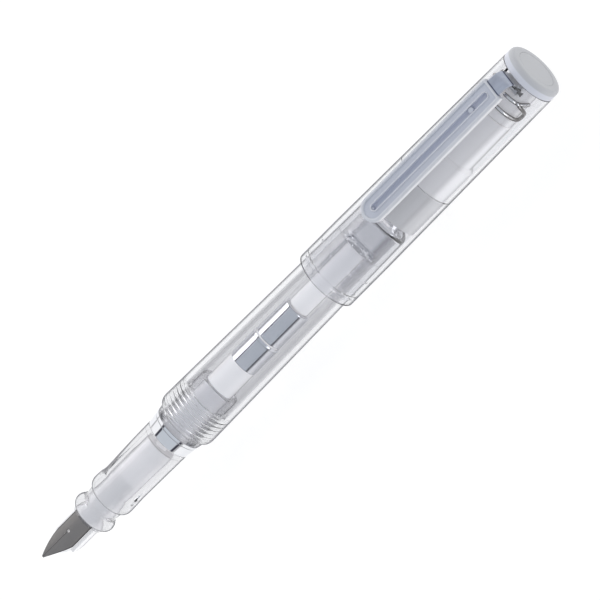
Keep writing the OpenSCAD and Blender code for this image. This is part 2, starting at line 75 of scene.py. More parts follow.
def make_camera():
    """A long-lens camera whose axes follow from the tilt, the roll and the pen's slope in the picture."""
    along, across, up = (np.array(v, float) for v in ((1, 0, 0), (0, 1, 0), (0, 0, 1)))
    back = math.sin(VIEW_TILT) * along
    back = back + math.cos(VIEW_TILT) * (math.cos(VIEW_ROLL) * up - math.sin(VIEW_ROLL) * across)
    pen_right = (along - math.sin(VIEW_TILT) * back) / math.cos(VIEW_TILT)
    pen_up = math.cos(VIEW_ROLL) * across + math.sin(VIEW_ROLL) * up
    right = math.cos(PEN_SLOPE) * pen_right - math.sin(PEN_SLOPE) * pen_up
    top = math.sin(PEN_SLOPE) * pen_right + math.cos(PEN_SLOPE) * pen_up
    tip = np.array((TIP_X, 0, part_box("nib")[1].z))
    centre = tip - TIP_OFFSET[0] * right - TIP_OFFSET[1] * top
    place = centre + back * VIEW_WIDTH * LENS / SENSOR
    data = bpy.data.cameras.new("camera")
    data.lens = LENS
    data.sensor_width = SENSOR
    data.clip_start = 0.1
    data.clip_end = 40
    camera = bpy.data.objects.new("camera", data)
    bpy.context.scene.collection.objects.link(camera)
    camera.matrix_world = Matrix([
        (right[0], top[0], back[0], place[0]),
        (right[1], top[1], back[1], place[1]),
        (right[2], top[2], back[2], place[2]),
        (0, 0, 0, 1),
    ])
    bpy.context.scene.camera = camera


def make_floor():
    """A wide pale floor at the pen's lowest point."""
    size = 6.0
    mesh = bpy.data.meshes.new("floor")
    corners = np.array([(-1, -1, 0), (1, -1, 0), (1, 1, 0), (-1, 1, 0)]) * size
    mesh.from_pydata(corners.tolist(), [], [(0, 1, 2, 3)])
    floor = bpy.data.objects.new("floor", mesh)
    bpy.context.scene.collection.objects.link(floor)
    material = bpy.data.materials.new("floor_paper")
    material.use_nodes = True
    shader = material.node_tree.nodes["Principled BSDF"]
    shader.inputs["Base Color"].default_value = (0.25, 0.25, 0.25, 1)
    shader.inputs["Emission Color"].default_value = (1.0, 1.0, 1.0, 1)
    shader.inputs["Emission Strength"].default_value = 0.83
    shader.inputs["Roughness"].default_value = 0.9
    shader.inputs["Specular IOR Level"].default_value = 0.0
    mesh.materials.append(material)


def area_light(name, place, target, size, power):
    """A rectangular softbox at place, facing target."""
    data = bpy.data.lights.new(name, "AREA")
    data.shape = "RECTANGLE"
    data.size, data.size_y = size
    data.energy = power
    lamp = bpy.data.objects.new(name, data)
    bpy.context.scene.collection.objects.link(lamp)
    lamp.location = place
    lamp.rotation_euler = (Vector(target) - Vector(place)).to_track_quat("-Z", "Y").to_euler()
    lamp.visible_glossy = False


def make_light():
    """Studio light as a sky. An angle is taken round the pen's axis from square above the clip's side: a
    cool grey ceiling within about 49 degrees of it, a narrow black flag along either side of that, white
    walls beyond, and a darker line along the floor. Two large softboxes stand in front of the walls."""
    world = bpy.data.worlds.new("studio")
    bpy.context.scene.world = world
    world.use_nodes = True
    sky = Socket.into(world.node_tree)
    ray = sky.output("ShaderNodeTexCoord", "Generated")
    facing = ray.dot((0, -math.sin(VIEW_ROLL), math.cos(VIEW_ROLL)))
    aside = ray.dot((0, math.cos(VIEW_ROLL), math.sin(VIEW_ROLL)))
    turned = facing / (facing * facing + aside * aside) ** 0.5
    ceiling = turned.ramp(0.60, 0.72)
    flag = turned.ramp(0.46, 0.52) * turned.ramp(0.70, 0.64)
    horizon = ray.dot((0, 0, 1)).ramp(0.0, 0.22)
    seen = sky.output("ShaderNodeLightPath", "Is Camera Ray")
    colour = tint(sky, ceiling, (1.05, 1.05, 1.06, 1), (0.60, 0.64, 0.69, 1))
    colour = tint(sky, flag, colour, (0.06, 0.06, 0.08, 1))
    background = world.node_tree.nodes["Background"]
    tint(sky, seen, colour, (1.0, 1.0, 1.0, 1)).to(background.inputs["Color"])
    (seen + (1 - seen) * (0.35 + 0.65 * horizon)).to(background.inputs["Strength"])
    area_light("key_softbox", (-0.2, 0.85, 0.65), (0, 0, 0), (1.3, 0.6), 5.0)
    area_light("fill_softbox", (0.3, -1.0, 0.40), (0, 0, 0), (1.2, 0.45), 3.5)


def render_look():
    """Plain tone curve, and enough bounces for light to cross every wall of clear plastic."""
    scene = bpy.context.scene
    scene.view_settings.view_transform = "Standard"
    scene.cycles.max_bounces = 40
    scene.cycles.transmission_bounces = 40
    scene.cycles.glossy_bounces = 12
    scene.cycles.transparent_max_bounces = 32
    scene.cycles.sample_clamp_indirect = 2.0
    scene.cycles.use_denoising = True


# ---------------------------------------------------------------- shader maths

class Socket:
    """An output socket. + - * / between sockets and numbers add Math nodes; node() adds any other node."""

    def __init__(self, tree, socket):
        self.tree = tree
        self.socket = socket

    @classmethod
    def into(cls, tree):
        """A starting point in a node tree, with no output of its own."""
        return cls(tree, None)

    def node(self, kind, settings, values, output=0):
        """Adds a node: settings are its own attributes, values the numbers or links of its inputs."""
        made = self.tree.nodes.new(kind)
        for key, value in settings.items():
            setattr(made, key, value)
        for key, value in values.items():
            if isinstance(value, Socket):
                self.tree.links.new(value.socket, made.inputs[key])
            else:
                made.inputs[key].default_value = value
        return Socket(self.tree, made.outputs[output])

    def output(self, kind, name):
        return self.node(kind, {}, {}, name)

    def to(self, target):
        self.tree.links.new(self.socket, target)

    def _math(self, operation, first, second):
        return self.node("ShaderNodeMath", {"operation": operation}, {0: first, 1: second})

    def __add__(self, other):
        return self._math("ADD", self, other)

    __radd__ = __add__

    def __sub__(self, other):
        return self._math("SUBTRACT", self, other)

    def __rsub__(self, other):
        return self._math("SUBTRACT", other, self)

    def __mul__(self, other):
        return self._math("MULTIPLY", self, other)

    __rmul__ = __mul__

    def __truediv__(self, other):
        return self._math("DIVIDE", self, other)

    def __pow__(self, other):
        return self._math("POWER", self, other)

    def __abs__(self):
        return self._math("ABSOLUTE", self, 0.0)

    def dot(self, vector):
        return self.node("ShaderNodeVectorMath", {"operation": "DOT_PRODUCT"}, {0: self, 1: vector}, "Value")

    def ramp(self, low, high):
        """0 at low, 1 at high, and an even curve between; low may be the larger."""
        return self.node("ShaderNodeMapRange", {"interpolation_type": "SMOOTHSTEP"},
                         {"Value": self, "From Min": low, "From Max": high})


def finish(name, constants):
    """A new material: its Principled shader with constant sockets set, and the object's coordinates."""
    material = bpy.data.materials.new(name)
    material.use_nodes = True
    shader = material.node_tree.nodes["Principled BSDF"]
    for key, value in constants.items():
        shader.inputs[key].default_value = value
    start = Socket.into(material.node_tree)
    return material, shader.inputs, start.output("ShaderNodeTexCoord", "Object")


def noise(place, scale, detail=2.0, stretch=(1, 1, 1)):
    """Noise in 0..1, finer with scale; stretch squeezes it along the pen's own axes."""
    mapped = place.node("ShaderNodeMapping", {}, {"Vector": place, "Scale": stretch})
    return mapped.node("ShaderNodeTexNoise", {}, {"Vector": mapped, "Scale": scale, "Detail": detail}, "Fac")


def tint(place, factor, first, second):
    """A colour between two, by factor."""
    return place.node("ShaderNodeMix", {"data_type": "RGBA"}, {0: factor, 6: first, 7: second}, 2)


def bump(place, height, distance):
    """A surface normal that follows height, distance metres deep."""
    values = {"Height": height, "Distance": distance}
    return place.node("ShaderNodeBump", {}, values, "Normal")


def edge_on(place):
    """0 where a surface faces the viewer, 1 where it is seen edge-on."""
    return place.node("ShaderNodeLayerWeight", {}, {"Blend": 0.5}, "Facing")


def station_of(place):
    """Distance along the pen from the nib's tip in millimetres."""
    return (place.dot((1, 0, 0)) - TIP_X) / MM


def from_axis(place):
    """Distance from the pen's axis in millimetres."""
    across = place.dot((0, 1, 0))
    height = place.dot((0, 0, 1)) - AXIS_Z
    return (across * across + height * height) ** 0.5 / MM


def sideways(place):
    """Distance in millimetres to the side of the plane through the pen's axis that leans by VIEW_ROLL."""
    aside = place.dot((0, math.cos(VIEW_ROLL), math.sin(VIEW_ROLL))) - AXIS_Z * math.sin(VIEW_ROLL)
    return aside / MM


# ---------------------------------------------------------------- finishes

def clear_plastic(name, deep, pale, wall, shade):
    """Polished clear acrylic: faint handling marks in the gloss, a slow ripple from the mould, and a painted
    dark shade line where the outside turns edge-on. wall is the radius in mid-wall: its front value, its rise
    behind the barrel's shoulder and its fall per millimetre. The flanks of the bore get a painted grey shade,
    scaled by shade. The thick lip of the grip has a painted grey shade too, and the cut threads are a little
    duller than the rest."""
    material, inputs, place = finish(name, {"Transmission Weight": 1.0, "IOR": 1.49})
    marks = noise(place, 420.0, 4.0, (0.35, 1, 1))
    edge = edge_on(place)
    station = station_of(place)
    front_wall, rise, fall = wall
    middle = front_wall + rise * station.ramp(43.4, SHOULDER_END) - fall * (station - SHOULDER_END)
    outside = (from_axis(place) - middle).ramp(-0.1, 0.1)
    neck = station.ramp(43.0, 43.4) * station.ramp(51.7, 51.3)
    # painted grey shade on the flanks of the bore, scaled by shade
    painted_flank = (1 - outside) * edge.ramp(0.12, 0.26) * edge.ramp(0.78, 0.50)
    body = tint(place, noise(place, 60.0), deep, pale)
    # painted grey shade over the grip's thick lip
    lip = station.ramp(13.0, 11.5)
    body = tint(place, lip, body, (0.50, 0.50, 0.52, 1))
    tint(place, shade * painted_flank, body, (0.40, 0.40, 0.42, 1)).to(inputs["Base Color"])
    cut = neck * (1 - shade * outside)
    (0.012 + 0.035 * marks + 0.16 * cut).to(inputs["Roughness"])
    bump(place, noise(place, 95.0, 1.0, (0.25, 1, 1)), 0.01 * MM).to(inputs["Normal"])
    # painted dark shade on the rim where the outside turns edge-on
    let_light_in(material, place, 0.85 * outside * edge.ramp(0.61, 0.79))
    return material


def let_light_in(material, place, rim):
    """Paints a dark shade on the edge-on rim by mixing in a dark matt shader. Light on its way to or from a
    matt surface crosses the wall straight.
    """
    tree = material.node_tree
    glass = Socket(tree, tree.nodes["Principled BSDF"].outputs["BSDF"])
    # the dark matt shader that paints shade on the rim
    shade = place.node("ShaderNodeBsdfDiffuse", {}, {"Color": (0.20, 0.20, 0.21, 1)}, "BSDF")
    edged = place.node("ShaderNodeMixShader", {}, {0: rim, 1: glass, 2: shade}, "Shader")
    straight = place.node("ShaderNodeBsdfTransparent", {}, {"Color": (0.95, 0.95, 0.955, 1)}, "BSDF")
    shadow = place.output("ShaderNodeLightPath", "Is Shadow Ray")
    matt = place.output("ShaderNodeLightPath", "Is Diffuse Ray")
    both = place.node("ShaderNodeMixShader", {}, {0: shadow + matt, 1: edged, 2: straight}, "Shader")
    both.to(tree.nodes["Material Output"].inputs["Surface"])


def frosted_plastic(name, grey_until=-10.0):
    """Milky translucent plastic with a fine spark-eroded grain, with a painted grey shade where it turns
    edge-on. It is faintly self-lit, painted light for light carried in from behind. Inside the cap a
    lengthwise stripe leaning by VIEW_ROLL paints shade along the middle and light to the sides, and in front
    of station grey_until it is a streaky grey."""
    # painted light: faint self-lighting for light the plastic would carry in from behind
    painted_glow = {"Emission Color": (0.95, 0.945, 0.945, 1), "Emission Strength": 0.16}
    material, inputs, place = finish(name, {"Transmission Weight": 0.2, "IOR": 1.49, **painted_glow})
    grain = noise(place, 2600.0, 3.0)
    edge = edge_on(place)
    station = station_of(place)
    aside = abs(sideways(place))
    streaks = noise(place, 500.0, 3.0, (0.06, 1, 1))
    skirt = station.ramp(grey_until + 0.2, grey_until - 0.2) * (0.25 + 0.9 * streaks)
    body = tint(place, noise(place, 90.0), (0.885, 0.875, 0.88, 1), (0.94, 0.93, 0.935, 1))
    # painted light on the sides and painted shade along the middle, in a stripe leaning by VIEW_ROLL
    painted_flank = aside.ramp(2.4, 4.6) * station.ramp(112.0, 123.0)
    middle = aside.ramp(4.2, 2.6) * station.ramp(109.0, 110.0)
    body = tint(place, painted_flank, body, (0.98, 0.97, 0.975, 1))
    body = tint(place, middle, body, (0.64, 0.632, 0.645, 1))
    body = tint(place, skirt, body, (0.42, 0.42, 0.435, 1))
    # painted grey shade where the surface turns edge-on
    tint(place, edge.ramp(0.50, 0.88), body, (0.22, 0.22, 0.24, 1)).to(inputs["Base Color"])
    (0.30 + 0.2 * grain).to(inputs["Roughness"])
    bump(place, grain, 0.006 * MM).to(inputs["Normal"])
    return material


def clip_plastic():
    """Satin translucent blue-grey, with painted light that makes the sides palest and painted shade that
    deepens the sunk band and the groove.
    """
    material, inputs, place = finish("clip_satin_plastic", {"Transmission Weight": 0.15, "IOR": 1.49})
    cloud = noise(place, 130.0)
    grain = noise(place, 1800.0, 3.0)
    depth = (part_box("clip_arm")[1].z - place.dot((0, 0, 1))) / MM
    aside = abs(place.dot((0, 1, 0))) / MM
    # painted shade in the sunk band and the groove
    band = depth.ramp(0.12, 0.32) * aside.ramp(2.5, 2.3)
    groove = depth.ramp(0.45, 0.8) * aside.ramp(0.95, 0.75)
    half_width = span("clip_arm")[2]
    # painted light on the side walls
    side = depth.ramp(0.3, 0.6) * aside.ramp(half_width - 0.2, half_width - 0.05)
    top = tint(place, cloud, (0.66, 0.67, 0.71, 1), (0.72, 0.73, 0.77, 1))
    sunk = tint(place, band, top, (0.58, 0.60, 0.67, 1))
    inner = tint(place, groove, sunk, (0.62, 0.64, 0.74, 1))
    tint(place, side, inner, (0.93, 0.93, 0.95, 1)).to(inputs["Base Color"])
    (0.30 + 0.15 * grain).to(inputs["Roughness"])
    bump(place, grain, 0.004 * MM).to(inputs["Normal"])
    return material


def finial_plastic():
    """Satin pale grey plastic with a soft cloud in its tint, and painted light that makes the side paler and
    bluer than the end face.
    """
    material, inputs, place = finish("finial_satin_plastic", {"Transmission Weight": 0.1, "IOR": 1.49})
    cloud = noise(place, 130.0)
    grain = noise(place, 1800.0, 3.0)
    # painted light: the side paler and bluer than the end face
    side = station_of(place).ramp(155.6, 155.3)
    face = tint(place, cloud, (0.52, 0.525, 0.545, 1), (0.57, 0.575, 0.595, 1))
    tint(place, side, face, (0.70, 0.71, 0.775, 1)).to(inputs["Base Color"])
    (0.30 + 0.15 * grain).to(inputs["Roughness"])
    bump(place, grain, 0.004 * MM).to(inputs["Normal"])
    return material


def chrome():
    """Bright plating with fine turning lines round the axis."""
    material, inputs, place = finish("chrome_plating", {"Metallic": 1.0})
    lines = noise(place, 900.0, 2.0, (6, 0.3, 0.3))
    smudge = noise(place, 260.0, 3.0)
    tint(place, smudge, (0.80, 0.805, 0.83, 1), (0.87, 0.875, 0.90, 1)).to(inputs["Base Color"])
    (0.03 + 0.06 * smudge).to(inputs["Roughness"])
    bump(place, lines, 0.002 * MM).to(inputs["Normal"])
    return material


def strap_steel():
    """Satin strap: blue-grey with lengthwise polishing marks, with painted dark reflections where it leaves
    the arm and in a line just behind that, a painted near-black shade line across the bottom of its bend, and
    a paler painted reflection below it."""
    material, inputs, place = finish("strap_satin_steel", {"Metallic": 0.45, "Specular IOR Level": 0.3})
    marks = noise(place, 1300.0, 3.0, (0.1, 1, 1))
    station = station_of(place)
    height = (place.dot((0, 0, 1)) - AXIS_Z) / MM
    # painted reflections and shade: a dark stretch and a dark line where the strap leaves the arm, a
    # near-black line across the bottom of the bend, paler below it
    foot_shade = height.ramp(8.25, 8.1) * height.ramp(7.6, 7.8)
    rise = station.ramp(150.0, 149.6)
    crease_shade = station.ramp(149.6, 149.75) * station.ramp(150.1, 149.95)
    flat = tint(place, marks, (0.36, 0.39, 0.47, 1), (0.50, 0.53, 0.61, 1))
    bent = tint(place, rise, flat, (0.13, 0.15, 0.22, 1))
    bent = tint(place, crease_shade, bent, (0.06, 0.07, 0.13, 1))
    bent = tint(place, height.ramp(7.9, 7.6), bent, (0.50, 0.51, 0.54, 1))
    tint(place, foot_shade, bent, (0.02, 0.025, 0.07, 1)).to(inputs["Base Color"])
    (0.25 + 0.10 * marks).to(inputs["Roughness"])
    bump(place, marks, 0.002 * MM).to(inputs["Normal"])
    return material


def nib_steel():
    """Warm grey steel sheet, brushed lengthwise and a little cloudy, with a painted near-black shade line
    along its blanked edge and painted dark shade where it turns edge-on. The sheet's attribute edge_line runs
    from 0 at the slit to 1 at the edge."""
    material, inputs, place = finish("nib_steel_sheet", {"Metallic": 0.3, "Specular IOR Level": 0.15})
    brush = noise(place, 1500.0, 3.0, (0.06, 1, 1))
    cloud = noise(place, 220.0)
    # painted shade: a near-black line along the sheet's edge, and darkening where it turns edge-on
    rim = place.node("ShaderNodeAttribute", {"attribute_name": "edge_line"}, {}, "Fac").ramp(0.90, 0.95)
    limb_shade = edge_on(place).ramp(0.55, 0.75)
    sheet = tint(place, cloud, (0.195, 0.185, 0.18, 1), (0.25, 0.238, 0.232, 1))
    sheet = tint(place, limb_shade, sheet, (0.03, 0.03, 0.03, 1))
    tint(place, rim, sheet, (0.008, 0.008, 0.008, 1)).to(inputs["Base Color"])
    (0.38 + 0.14 * brush).to(inputs["Roughness"])
    bump(place, brush, 0.003 * MM).to(inputs["Normal"])
    return material


def wire_steel():
    """Drawn spring wire: bright along its crown, with painted dark shade where it turns edge-on, and fine die
    marks.
    """
    material, inputs, place = finish("spring_wire_steel", {"Metallic": 1.0})
    marks = noise(place, 2400.0, 3.0)
    edge = edge_on(place)
    crown = tint(place, marks, (0.80, 0.79, 0.78, 1), (0.92, 0.91, 0.90, 1))
    # painted dark shade where the wire turns edge-on
    tint(place, edge.ramp(0.12, 0.50), crown, (0.10, 0.09, 0.085, 1)).to(inputs["Base Color"])
    (0.10 + 0.10 * marks).to(inputs["Roughness"])
    return material


def seal_rubber():
    """Pale, slightly uneven rubber."""
    material, inputs, place = finish("pale_seal_rubber", {})
    cloud = noise(place, 700.0, 4.0)
    tint(place, cloud, (0.66, 0.66, 0.68, 1), (0.78, 0.78, 0.80, 1)).to(inputs["Base Color"])
    (0.45 + 0.2 * cloud).to(inputs["Roughness"])
    bump(place, cloud, 0.01 * MM).to(inputs["Normal"])
    return material


# ---------------------------------------------------------------- surfaces

def add_piece(name, points, faces, material, body, slot, *nodes):
    """Puts a finished mesh into the scene: points in metres, riding on body and standing for nodes."""
    mesh = bpy.data.meshes.new(name)
    mesh.from_pydata(points, [], faces)
    mesh.validate()
    mesh.polygons.foreach_set("use_smooth", np.ones(len(mesh.polygons), bool))
    mesh.materials.append(material)
    piece = bpy.data.objects.new(name, mesh)
    bpy.context.scene.collection.objects.link(piece)
    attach(piece, body)
    if nodes:
        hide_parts(*nodes)
    return piece


def in_frame(station, across, height):
    """Stations and offsets from the axis in millimetres, as points in metres."""
    return np.stack([TIP_X + station * MM, across * MM, AXIS_Z + height * MM], axis=-1)


def quads(rows, columns, close_rows, close_columns):
    """Faces of a grid of rows by columns, each cell as four corners, wrapping round where closed."""
    i = np.arange(rows if close_rows else rows - 1)[:, None]
    j = np.arange(columns if close_columns else columns - 1)[None, :]
    down, right = (i + 1) % rows, (j + 1) % columns
    corners = [i * columns + j, i * columns + right, down * columns + right, down * columns + j]
    return np.stack(corners, -1).reshape(-1, 4)


def signed_area(outline):
    """Twice an outline's area, negative when it runs the other way round."""
    x, r = outline[:, 0], outline[:, 1]
    return (x * np.roll(r, -1) - np.roll(x, -1) * r).sum()


HOLD = 0.03     # support points stand this far from the end of a straight run
ARC_STEPS = 5   # steps in each rounded corner


def rounded(corners, longest=2.0):
    """An outline as points: each corner (station, radius, rounding) becomes an arc, and each straight run
    gets a point close to either end and points no further apart than longest."""
    p = np.array([c[:2] for c in corners], float)
    rounding = np.array([c[2] if len(c) > 2 else 0.0 for c in corners])
    before, after = np.roll(p, 1, 0) - p, np.roll(p, -1, 0) - p
    len_b, len_a = np.linalg.norm(before, axis=1), np.linalg.norm(after, axis=1)
    b, a = before / len_b[:, None], after / len_a[:, None]
    half = np.arccos(np.clip((a * b).sum(1), -0.99999, 0.99999)) / 2
    cut = np.minimum(rounding / np.tan(half), 0.48 * np.minimum(len_a, len_b))
    arcs = []
    for k in range(len(p)):
        if cut[k] <= 1e-6:
            arcs.append(p[k:k + 1])
            continue
        middle = p[k] + (a[k] + b[k]) / np.linalg.norm(a[k] + b[k]) * cut[k] / math.cos(half[k])
        start, stop = p[k] + b[k] * cut[k] - middle, p[k] + a[k] * cut[k] - middle
        sweep = math.pi - 2 * half[k]
        t = np.linspace(0, 1, ARC_STEPS + 1)[:, None]
        arcs.append(middle + (np.sin((1 - t) * sweep) * start + np.sin(t * sweep) * stop) / math.sin(sweep))
    points = []
    for k, arc in enumerate(arcs):
        points.append(arc)
        run_start, run_end = arc[-1], arcs[(k + 1) % len(arcs)][0]
        length = np.linalg.norm(run_end - run_start)
        if length > 6 * HOLD:
            inner = np.linspace(HOLD, length - HOLD, max(2, math.ceil((length - 2 * HOLD) / longest) + 1))
            points.append(run_start + (run_end - run_start) * (inner / length)[:, None])
    return np.concatenate(points)


def revolve(name, outline, material, body, slot, nodes=(), around=160, shape=None, lift=(0, 0, 0)):
    """Turns a closed outline of (station, radius) points about the axis. shape(station, radius, turn) may
    change the radii. An outline that runs along the axis is closed there by a pole at either end."""
    x, r = outline[:, 0], outline[:, 1]
    on_axis = r < 1e-9
    poles = on_axis.any()
    if poles:
        leaves = np.flatnonzero(on_axis & ~np.roll(on_axis, -1))[0]
        kept = np.count_nonzero(~on_axis) + 2
        x, r = np.roll(x, -leaves)[:kept], np.roll(r, -leaves)[:kept]
    turn = np.linspace(0, 2 * np.pi, around, endpoint=False)
    grid_x, grid_turn = np.meshgrid(x, turn, indexing="ij")
    grid_r = np.repeat(r[:, None], around, 1)
    if shape is not None:
        grid_r = shape(grid_x, grid_r, grid_turn)
    points = in_frame(grid_x, grid_r * np.sin(grid_turn), grid_r * np.cos(grid_turn)) + np.array(lift)
    if poles:
        rows = len(x) - 2
        ring = points[1:-1].reshape(-1, 3)
        points = np.concatenate([points[0, :1], ring, points[-1, :1]])
        j = np.arange(around)
        fan_a = np.stack([np.zeros(around, int), 1 + (j + 1) % around, 1 + j], -1)
        last = 1 + (rows - 1) * around
        fan_b = np.stack([np.full(around, 1 + rows * around), last + j, last + (j + 1) % around], -1)
        faces = (1 + quads(rows, around, False, True)).tolist() + fan_a.tolist() + fan_b.tolist()
    else:
        points = points.reshape(-1, 3)
        faces = quads(len(x), around, True, True).tolist()
    if signed_area(outline) < 0:
        faces = [face[::-1] for face in faces]
    return add_piece(name, points.tolist(), faces, material, body, slot, *nodes)


def smooth(value, low, high):
    """0 below low, 1 above high, and an even curve between."""
    t = np.clip((value - low) / (high - low), 0, 1)
    return t * t * (3 - 2 * t)


# ---------------------------------------------------------------- grip, nib and trim

THREAD_PITCH = 1.1
THREAD_START, THREAD_END = 43.7, 51.1
THREAD_DEPTH = 0.20
SHOULDER_END = 45.4     # station where the barrel reaches its full radius


def ridge(station, turn, pitch):
    """Height 0..1 of a right-hand thread's ridge: a flattened cosine of station over pitch plus turn."""
    wave = np.cos(2 * np.pi * (station / pitch + turn / (2 * np.pi)))
    return np.clip(0.5 + 0.85 * wave, 0, 1)


def arc(x, r, radius, start, stop, steps=10):
    """Points on a circle about (x, r), from one angle to another in degrees."""
    a = np.radians(np.linspace(start, stop, steps + 1))
    return [(x + radius * math.cos(t), r + radius * math.sin(t)) for t in a]


def fine_rows(x0, x1, radius, step=0.05):
    """Close rows at one radius, where a thread will be cut."""
    return [(x, radius) for x in np.arange(x0, x1, step)]


def grip(material):
    """Grip: the lip, groove and bulge are arcs. Each finger flat cuts the radius to height / cos(turn - flat)
    and runs in gently, and the neck's thread adds its ridge to the radius."""
    front, rear, _ = span("grip_section")
    lip = front + 2.3
    flat_start, flat_rise, flat_low, flat_turn = 22.8, 0.056, 4.75, math.radians(60)
    corners = [(front, 3.66, 0.12), (front, 3.95, 0.1)]
    corners += arc(lip, 3.23, 1.9, 158, 40, 14) + arc(lip + 2.45, 5.05, 0.9, 225, 300, 7)
    corners += arc(20.6, 3.3, 2.1, 150, 90, 12)
    corners += [(22.6, 5.37), (24.5, 5.25), (38.5, 5.45, 0.1), (38.5, 4.9, 0.05), (43.0, 4.9), (43.3, 4.62)]
    corners += fine_rows(43.5, 51.3, 4.62)
    corners += [(51.5, 4.62), (51.9, 4.9, 0.1), (rear, 4.9, 0.2)]
    corners += [(rear, 3.52, 0.12), (36.7, 3.52), (36.7, 3.66)]

    def shape(x, r, turn):
        thread = ridge(x, turn, THREAD_PITCH) * smooth(x, THREAD_START, THREAD_START + 0.6)
        thread = thread * (1 - smooth(x, THREAD_END - 0.6, THREAD_END))
        r = np.where((x > 43.4) & (x < 51.4) & (r > 4.5), r + THREAD_DEPTH * thread, r)
        for side in (-1, 1):
            off = np.cos(turn - side * flat_turn)
            height = flat_low + flat_rise * (x - flat_start)
            cut = np.where(off > 0.3, height / np.maximum(off, 0.3), 99.0)
            sunk = np.minimum(r, cut)
            r = np.where(r > 4.95, r + (sunk - r) * smooth(x, flat_start - 0.6, flat_start + 1.0), r)
        return r

    outline = rounded(corners, 1.0)
    revolve("grip", outline, material, "section", "clear_plastic", ("grip_section",), 192, shape)


def trim(material):
    """The conical chrome band and the thin band behind it."""
    front, rear, _ = span("trim_ring")
    outline = rounded([(front, 4.98, 0.05), (front, 5.47, 0.1), (rear, 5.80, 0.12), (rear, 4.98, 0.05)])
    revolve("trim_band", outline, material, "trim", "chrome_trim", ("trim_ring",))
    front, rear, _ = span("trim_washer")
    outline = rounded([(front, 4.98, 0.05), (front, 5.82, 0.08), (rear, 5.88, 0.08), (rear, 4.98, 0.05)])
    revolve("trim_thin_band", outline, material, "trim", "chrome_trim", ("trim_washer",))


def nib(material):
    """Nib: each half is a grid from the slit to the edge. The edge's turn grows evenly with the station up to
    the shoulder, the slit's half width opens to a circle at the breather hole, and both halves share the top
    line behind it. The attribute edge_line is the share of the way across. Thickness comes afterwards."""
    _, rear, _ = span("nib")
    radius, wrap, shoulder, tip_half = 2.99, math.radians(58), 6.4, 0.15
    hole_x, hole_r, slit = 8.5, 0.36, 0.035
    x = np.concatenate([
        np.linspace(0.12, shoulder, 41), np.linspace(shoulder + 0.1, hole_x - hole_r, 14),
        hole_x - hole_r * np.cos(np.linspace(0.12, math.pi, 22)),
        np.linspace(hole_x + hole_r + 0.15, rear, 26),
    ])
    edge = tip_half / radius + (wrap - tip_half / radius) * np.clip(x / shoulder, 0, 1)
    opening = np.sqrt(np.maximum(hole_r ** 2 - (x - hole_x) ** 2, 0))
    opening = np.maximum(opening, np.where(x < hole_x, slit, 0.0)) / radius
    across = np.linspace(0, 1, 21)[None, :]
    points, faces = [], []
    for side in (-1, 1):
        turn = side * (opening[:, None] + (edge - opening)[:, None] * across)
        stations = np.repeat(x[:, None], across.size, 1)
        grid = in_frame(stations, radius * np.sin(turn), radius * np.cos(turn)).reshape(-1, 3)
        cells = quads(len(x), across.size, False, False)
        cells = cells if side > 0 else cells[:, ::-1]
        faces += (cells + sum(map(len, points))).tolist()
        points.append(grid)
    points = np.concatenate(points).tolist()
    piece = add_piece("nib_sheet", points, faces, material, "section", "nib_steel", "nib")
    line = piece.data.attributes.new("edge_line", "FLOAT", "POINT")
    line.data.foreach_set("value", np.tile(across.ravel(), 2 * len(x)))
    weld(piece, 0.004 * MM)
    sheet = piece.modifiers.new("sheet", "SOLIDIFY")
    sheet.thickness = 0.24 * MM
    sheet.offset = -1
    rim = piece.modifiers.new("rim", "BEVEL")
    rim.width = 0.04 * MM
    rim.segments = 2
    rim.limit_method = "ANGLE"
    outline = rounded([(0.0, 0), (0.04, 0.1, 0.06), (0.4, 0.18, 0.12), (1.0, 0.12, 0.05), (1.05, 0)])
    height = np.array((0, 0, (radius - 0.14) * MM))
    revolve("nib_tipping", outline, material, "section", "nib_steel", (), 32, None, height)


def weld(piece, distance):
    """Merges a piece's points that lie closer than distance metres."""
    mesh = bmesh.new()
    mesh.from_mesh(piece.data)
    bmesh.ops.remove_doubles(mesh, verts=mesh.verts, dist=distance)
    mesh.to_mesh(piece.data)
    mesh.free()


# ---------------------------------------------------------------- barrel and converter

def barrel(material):
    """Barrel: a straight taper behind a quarter-ellipse shoulder, a threaded throat and a tapered bore."""
    front, rear, _ = span("barrel")
    full_x, full_r, rear_r, wall = SHOULDER_END, 7.12, 6.13, 1.24
    shoulder_length, shoulder_r = 1.7, 6.22
    taper = (rear_r - full_r) / (rear - full_x)
    bore_front, bore_rear = 51.6, 100.7
    a = np.radians(np.linspace(0, 84, 12))
    corners = [(front, 5.38, 0.06), (front, 5.88, 0.15), (43.6, 6.15, 0.3)]
    rise = full_r - shoulder_r
    corners += [(full_x - shoulder_length * math.cos(t), shoulder_r + rise * math.sin(t)) for t in a]
    corners += [(full_x + 0.25, full_r), (rear, rear_r, 0.6), (rear, 5.06, 0.1), (bore_rear, 5.06)]
    corners += [(bore_rear - 0.1, full_r + taper * (bore_rear - full_x) - wall, 0.05)]
    corners += [(bore_front, full_r + taper * (bore_front - full_x) - wall, 0.15), (51.3, 5.02, 0.1)]
    corners += fine_rows(43.5, 51.2, 5.0)[::-1] + [(43.3, 5.38, 0.1)]

    def shape(x, r, turn):
        thread = ridge(x, turn, THREAD_PITCH)
        return np.where((x > 43.4) & (x < 51.25) & (r < 5.1), r + THREAD_DEPTH * thread, r)

    outline = rounded(corners, 1.5)
    revolve("barrel_shell", outline, material, "barrel", "clear_plastic", ("barrel",), 192, shape)


def barrel_plug(material):
    """The end piece: a dished front face, a domed rim and a small dimple behind."""
    front, rear, radius = span("barrel_plug")
    dish = [(front + 1.2 - 1.2 * t * t, (radius - 0.5) * t) for t in np.linspace(0, 1, 9)]
    corners = dish + [(front, radius, 0.1), (rear, radius, 0.5), (rear, 2.2, 0.2), (rear - 0.5, 1.7, 0.2)]
    corners += [(rear - 0.5, 0)]
    revolve("barrel_end_plug", rounded(corners), material, "barrel", "clear_plastic", ("barrel_plug",), 128)


